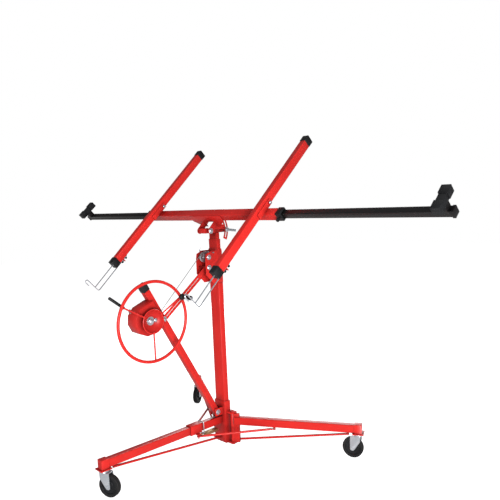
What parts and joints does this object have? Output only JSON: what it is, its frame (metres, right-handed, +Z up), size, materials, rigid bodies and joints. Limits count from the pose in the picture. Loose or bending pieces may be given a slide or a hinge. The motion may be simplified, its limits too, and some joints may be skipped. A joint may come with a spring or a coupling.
{
  "type": "drywall lift",
  "caption": "Folding tripod lift with a telescoping mast, a hand-wheel winch and a tilting cradle of cross arms and sliding outriggers that raises plasterboard to a ceiling.",
  "frame": {"origin": "on the floor, at the middle of the whole lift's outline; the mast stands 0.070 m from it along -X and 0.221 m along +Y", "axes": "+Z up, +X along the cradle beam, -Y towards the operator and the front leg"},
  "size_m": [3.09, 1.3454, 1.928],
  "materials": {
    "red_powder_coat": "satin",
    "black_plastic": "satin",
    "black_enamel": "satin",
    "bright_zinc": "satin",
    "yellow_zinc": "satin",
    "black_rubber": "matte",
    "steel_rope": "satin"
  },
  "bodies": {
    "base": {"base_post": "red_powder_coat", "outer_mast": "red_powder_coat", "front_leg": "red_powder_coat", "front_stay": "red_powder_coat", "pulley_plate_right": "red_powder_coat", "pulley_plate_left": "red_powder_coat", "lift_cable": "steel_rope"},
    "rear_leg_right": {"rear_leg_right": "red_powder_coat", "rear_stay_right": "red_powder_coat"},
    "rear_leg_left": {"rear_leg_left": "red_powder_coat", "rear_stay_left": "red_powder_coat"},
    "leg_sleeve": {"leg_sleeve": "red_powder_coat", "latch_stirrup": "bright_zinc"},
    "link_rod_right": {"link_rod_right": "red_powder_coat"},
    "link_rod_left": {"link_rod_left": "red_powder_coat"},
    "latch_pedal": {"latch_pedal": "yellow_zinc"},
    "mast_pulley": {"mast_pulley": "bright_zinc"},
    "mast_latch": {"mast_latch": "bright_zinc"},
    "middle_mast": {"middle_mast": "red_powder_coat"},
    "inner_mast": {"inner_mast": "red_powder_coat", "head_bar": "red_powder_coat"},
    "winch_frame": {"winch_tube": "red_powder_coat", "winch_tube_cap": "black_plastic", "winch_housing": "red_powder_coat"},
    "winch": {"cable_drum": "bright_zinc", "hand_wheel": "red_powder_coat"},
    "wheel_knob": {"wheel_knob": "black_plastic"},
    "brake": {"brake_lever": "bright_zinc", "brake_grip": "black_plastic"},
    "brace_strut": {"brace_strut": "red_powder_coat"},
    "cradle": {"cradle_beam": "red_powder_coat", "tilt_bracket": "red_powder_coat", "beam_collar_right": "black_plastic", "beam_collar_left": "black_plastic", "cross_arm_right": "red_powder_coat", "arm_cap_lower_right": "black_plastic", "arm_cap_upper_right": "black_plastic", "arm_bracket_right": "red_powder_coat", "cross_arm_left": "red_powder_coat", "arm_cap_lower_left": "black_plastic", "arm_cap_upper_left": "black_plastic", "arm_bracket_left": "red_powder_coat"},
    "cam_lever": {"cam_lever": "bright_zinc"},
    "outrigger_right": {"outrigger_right": "black_enamel", "panel_rest_right": "black_plastic"},
    "lock_knob_right": {"lock_knob_right": "black_plastic"},
    "panel_hook_right": {"panel_hook_right": "bright_zinc"},
    "outrigger_left": {"outrigger_left": "black_enamel", "panel_rest_left": "black_plastic"},
    "lock_knob_left": {"lock_knob_left": "black_plastic"},
    "panel_hook_left": {"panel_hook_left": "bright_zinc"},
    "caster_fork_front": {"caster_fork_front": "bright_zinc"},
    "caster_wheel_front": {"caster_wheel_front": "black_rubber"},
    "caster_fork_right": {"caster_fork_right": "bright_zinc"},
    "caster_wheel_right": {"caster_wheel_right": "black_rubber"},
    "caster_fork_left": {"caster_fork_left": "bright_zinc"},
    "caster_wheel_left": {"caster_wheel_left": "black_rubber"}
  },
  "joints": [
    {"name": "rear_leg_right_fold", "type": "hinge", "parent": "base", "child": "rear_leg_right", "pos_m": [0.008, 0.2333, 0.13], "axis": [0, 0, -1], "range_deg": [0, 105]},
    {"name": "rear_leg_left_fold", "type": "hinge", "parent": "base", "child": "rear_leg_left", "pos_m": [-0.148, 0.2333, 0.13], "axis": [0, 0, 1], "range_deg": [0, 105]},
    {"name": "sleeve_slide", "type": "slide", "parent": "base", "child": "leg_sleeve", "axis": [0, -1, 0], "range_m": [0, 0.4706]},
    {"name": "link_right_turn", "type": "hinge", "parent": "leg_sleeve", "child": "link_rod_right", "pos_m": [-0.03, -0.0137, 0.141], "axis": [0, 0, 1], "range_deg": [0, 22.18]},
    {"name": "link_left_turn", "type": "hinge", "parent": "leg_sleeve", "child": "link_rod_left", "pos_m": [-0.11, -0.0137, 0.141], "axis": [0, 0, -1], "range_deg": [0, 22.18]},
    {"name": "latch_pedal_press", "type": "hinge", "parent": "base", "child": "latch_pedal", "pos_m": [-0.07, 0.1593, 0.128], "axis": [1, 0, 0], "range_deg": [0, 12]},
    {"name": "mast_lift", "type": "slide", "parent": "base", "child": "middle_mast", "axis": [0, 0, 1], "range_m": [0, 0.95]},
    {"name": "mast_extend", "type": "slide", "parent": "middle_mast", "child": "inner_mast", "axis": [0, 0, 1], "range_m": [0, 0.95]},
    {"name": "pulley_turn", "type": "hinge", "parent": "base", "child": "mast_pulley", "pos_m": [-0.07, 0.1313, 1.225], "axis": [-1, 0, 0], "range_deg": [0, 3629.7]},
    {"name": "mast_latch_pull", "type": "slide", "parent": "base", "child": "mast_latch", "axis": [-1, 0, 0], "range_m": [0, 0.025]},
    {"name": "winch_fold", "type": "hinge", "parent": "base", "child": "winch_frame", "pos_m": [-0.07, 0.1593, 0.24], "axis": [-1, 0, 0], "range_deg": [0, 22], "deforming": ["lift_cable"]},
    {"name": "strut_swing", "type": "hinge", "parent": "base", "child": "brace_strut", "pos_m": [-0.07, 0.1313, 1.162], "axis": [1, 0, 0], "range_deg": [0, 31.36]},
    {"name": "winch_turn", "type": "hinge", "parent": "winch_frame", "child": "winch", "pos_m": [-0.07, -0.3347, 0.918], "axis": [-1, 0, 0], "range_deg": [0, 2342.1]},
    {"name": "knob_spin", "type": "hinge", "parent": "winch", "child": "wheel_knob", "pos_m": [0.09, -0.14201, 1.02925], "axis": [1, 0, 0], "continuous": true},
    {"name": "brake_swing", "type": "hinge", "parent": "winch_frame", "child": "brake", "pos_m": [-0.07, -0.3347, 0.918], "axis": [-1, 0, 0], "range_deg": [-20, 25]},
    {"name": "cradle_tilt", "type": "hinge", "parent": "inner_mast", "child": "cradle", "pos_m": [-0.07, 0.1513, 1.385], "axis": [1, 0, 0], "range_deg": [-43, 20]},
    {"name": "cam_lever_turn", "type": "hinge", "parent": "inner_mast", "child": "cam_lever", "pos_m": [-0.01, 0.2763, 1.385], "axis": [1, 0, 0], "range_deg": [-90, 10]},
    {"name": "outrigger_right_slide", "type": "slide", "parent": "cradle", "child": "outrigger_right", "axis": [-1, 0, 0], "range_m": [0, 0.455]},
    {"name": "lock_knob_right_pull", "type": "slide", "parent": "cradle", "child": "lock_knob_right", "axis": [0, -0.7314, -0.682], "range_m": [0, 0.008], "stiffness_N_per_m": 400},
    {"name": "panel_hook_right_slide", "type": "slide", "parent": "cradle", "child": "panel_hook_right", "axis": [0, 0.7314, 0.682], "range_m": [0, 0.1]},
    {"name": "outrigger_left_slide", "type": "slide", "parent": "cradle", "child": "outrigger_left", "axis": [1, 0, 0], "range_m": [0, 0.44]},
    {"name": "lock_knob_left_pull", "type": "slide", "parent": "cradle", "child": "lock_knob_left", "axis": [0, -0.7314, -0.682], "range_m": [0, 0.008], "stiffness_N_per_m": 400},
    {"name": "panel_hook_left_slide", "type": "slide", "parent": "cradle", "child": "panel_hook_left", "axis": [0, 0.7314, 0.682], "range_m": [0, 0.1]},
    {"name": "caster_front_swivel", "type": "hinge", "parent": "base", "child": "caster_fork_front", "pos_m": [-0.07, -0.6387, 0.14], "axis": [0, 0, 1], "continuous": true},
    {"name": "caster_front_roll", "type": "hinge", "parent": "caster_fork_front", "child": "caster_wheel_front", "pos_m": [-0.03919, -0.62433, 0.06319], "axis": [-0.4226, 0.9063, 0], "continuous": true},
    {"name": "caster_right_swivel", "type": "hinge", "parent": "rear_leg_right", "child": "caster_fork_right", "pos_m": [0.6887, 0.6263, 0.14], "axis": [0, 0, 1], "continuous": true},
    {"name": "caster_right_roll", "type": "hinge", "parent": "caster_fork_right", "child": "caster_wheel_right", "pos_m": [0.65675, 0.61467, 0.06319], "axis": [0.342, -0.9397, 0], "continuous": true},
    {"name": "caster_left_swivel", "type": "hinge", "parent": "rear_leg_left", "child": "caster_fork_left", "pos_m": [-0.8287, 0.6263, 0.14], "axis": [0, 0, 1], "continuous": true},
    {"name": "caster_left_roll", "type": "hinge", "parent": "caster_fork_left", "child": "caster_wheel_left", "pos_m": [-0.8117, 0.59686, 0.06319], "axis": [0.866, 0.5, 0], "continuous": true}
  ],
  "couplings": [
    {"joint": "rear_leg_left_fold", "follows": "rear_leg_right_fold", "ratio": 1},
    {"joint": "sleeve_slide", "follows": "rear_leg_right_fold", "m_per_rad": 0.2565},
    {"joint": "link_right_turn", "follows": "rear_leg_right_fold", "ratio": 0.21078},
    {"joint": "link_left_turn", "follows": "rear_leg_right_fold", "ratio": 0.21078},
    {"joint": "mast_extend", "follows": "mast_lift", "ratio": 1},
    {"joint": "pulley_turn", "follows": "mast_lift", "rad_per_m": 66.667},
    {"joint": "strut_swing", "follows": "winch_fold", "ratio": 1.4231},
    {"joint": "winch_turn", "follows": "mast_lift", "rad_per_m": 43.011}
  ]
}
